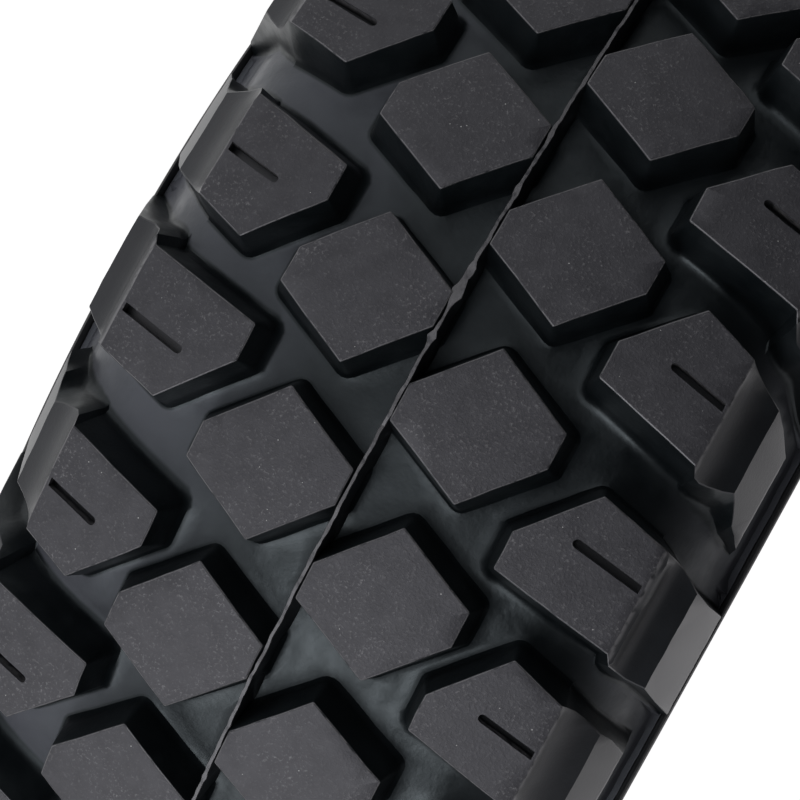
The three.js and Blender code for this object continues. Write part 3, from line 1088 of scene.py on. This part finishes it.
def floor():
    """The pale floor that the tyre lies on."""
    mesh = bpy.data.meshes.new("floor")
    size = FLOOR_HALF
    mesh.from_pydata([(-size, -size, 0), (size, -size, 0), (size, size, 0), (-size, size, 0)],
                     [], [(0, 1, 2, 3)])
    ground = bpy.data.objects.new("floor", mesh)
    bpy.context.scene.collection.objects.link(ground)
    mesh.materials.append(stage_white())


def backdrop():
    """A white studio sweep behind the tyre, less bright overhead, and a dim room in front."""
    world = bpy.data.worlds.new("world")
    bpy.context.scene.world = world
    world.use_nodes = True
    nodes = world.node_tree.nodes
    links = world.node_tree.links
    place = nodes.new("ShaderNodeTexCoord")
    away = nodes.new("ShaderNodeVectorMath")
    away.operation = "DOT_PRODUCT"
    azimuth = math.radians(ROOM_AZIMUTH)
    links.new(place.outputs["Generated"], away.inputs[0])
    away.inputs[1].default_value = (-math.cos(azimuth), -math.sin(azimuth), 0)
    fade = smooth_ramp(world.node_tree, ROOM_END, BACKDROP_START, ROOM, BACKDROP)
    links.new(away.outputs["Value"], fade.inputs["Value"])
    height = nodes.new("ShaderNodeSeparateXYZ")
    links.new(place.outputs["Generated"], height.inputs[0])
    dim = smooth_ramp(world.node_tree, SKY_START, SKY_FULL, 1, SKY)
    links.new(height.outputs["Z"], dim.inputs["Value"])
    both = nodes.new("ShaderNodeMath")
    both.operation = "MULTIPLY"
    links.new(fade.outputs["Result"], both.inputs[0])
    links.new(dim.outputs["Result"], both.inputs[1])
    links.new(both.outputs["Value"], nodes["Background"].inputs["Strength"])
    nodes["Background"].inputs["Color"].default_value = (1, 0.985, 1, 1)


def camera():
    """The camera close beside the tread, rolled so that the tread runs up to the right."""
    lens = bpy.data.cameras.new("camera")
    lens.lens = EYE_LENS
    lens.clip_start = 0.01
    eye = bpy.data.objects.new("camera", lens)
    azimuth = math.radians(EYE_AZIMUTH)
    eye.location = (EYE_RADIUS * math.cos(azimuth), EYE_RADIUS * math.sin(azimuth), EYE_HEIGHT)
    turn = (Vector(EYE_AIM) - eye.location).to_track_quat("-Z", "Y").to_matrix().to_4x4()
    roll = Matrix.Rotation(math.radians(EYE_ROLL), 4, "Z")
    eye.matrix_world = Matrix.Translation(eye.location) @ turn @ roll
    bpy.context.scene.collection.objects.link(eye)
    bpy.context.scene.camera = eye


rubber = tread_rubber()
side = side_rubber()
chafer = coated_fabric("chafer_fabric", (0.011, 0.0105, 0.010), (0.024, 0.0225, 0.021), 0.9, True)
ply = coated_fabric("ply_fabric", (0.020, 0.018, 0.015), (0.060, 0.053, 0.043), 1.1)
cushion = inner_rubber("cushion_rubber", (0.008, 0.008, 0.0085), (0.016, 0.016, 0.017), 0.6)
liner = inner_rubber("liner_rubber", (0.008, 0.008, 0.0085), (0.015, 0.015, 0.016), 0.42)
wire = plated_wire()

tread(rubber, groove_rubber())
parting_fin(rubber)
for word, way in (("upper", 1), ("lower", -1)):
    turned(f"side_{word}", sidewall_outline(), way, FINE_STEPS, side,
           f"sidewall_{word}")
    turned(f"bead_skin_{word}", chafer_outline(), way, PLAIN_STEPS, chafer,
           f"chafer_{word}")
turned("lining", liner_outline(), 1, PLAIN_STEPS, liner, "inner_liner")

# The plies, wires and fillers inside stay as the CAD made them and only get a material.
for name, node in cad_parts.items():
    if name.startswith(("tread_base", "shoulder_cushion", "bead_filler")):
        inside_material = cushion
    elif name.startswith(("breaker", "carcass", "bead_wrap")):
        inside_material = ply
    elif name.startswith("bead_wire"):
        inside_material = wire
    else:
        continue
    node.data.materials.clear()
    node.data.materials.append(inside_material)

floor()
camera()
area("key", place=(0.155, 0.458, 0.06), aim=(0.08, 0.1, 0.03), size=(0.3, 0.1),
     power=KEY_POWER)
area("low", place=(0.32, 0.42, 0.03), aim=(0.09, 0.09, 0.03), size=(0.3, 0.05),
     power=LOW_POWER)
backdrop()
bpy.context.scene.view_settings.view_transform = "Standard"
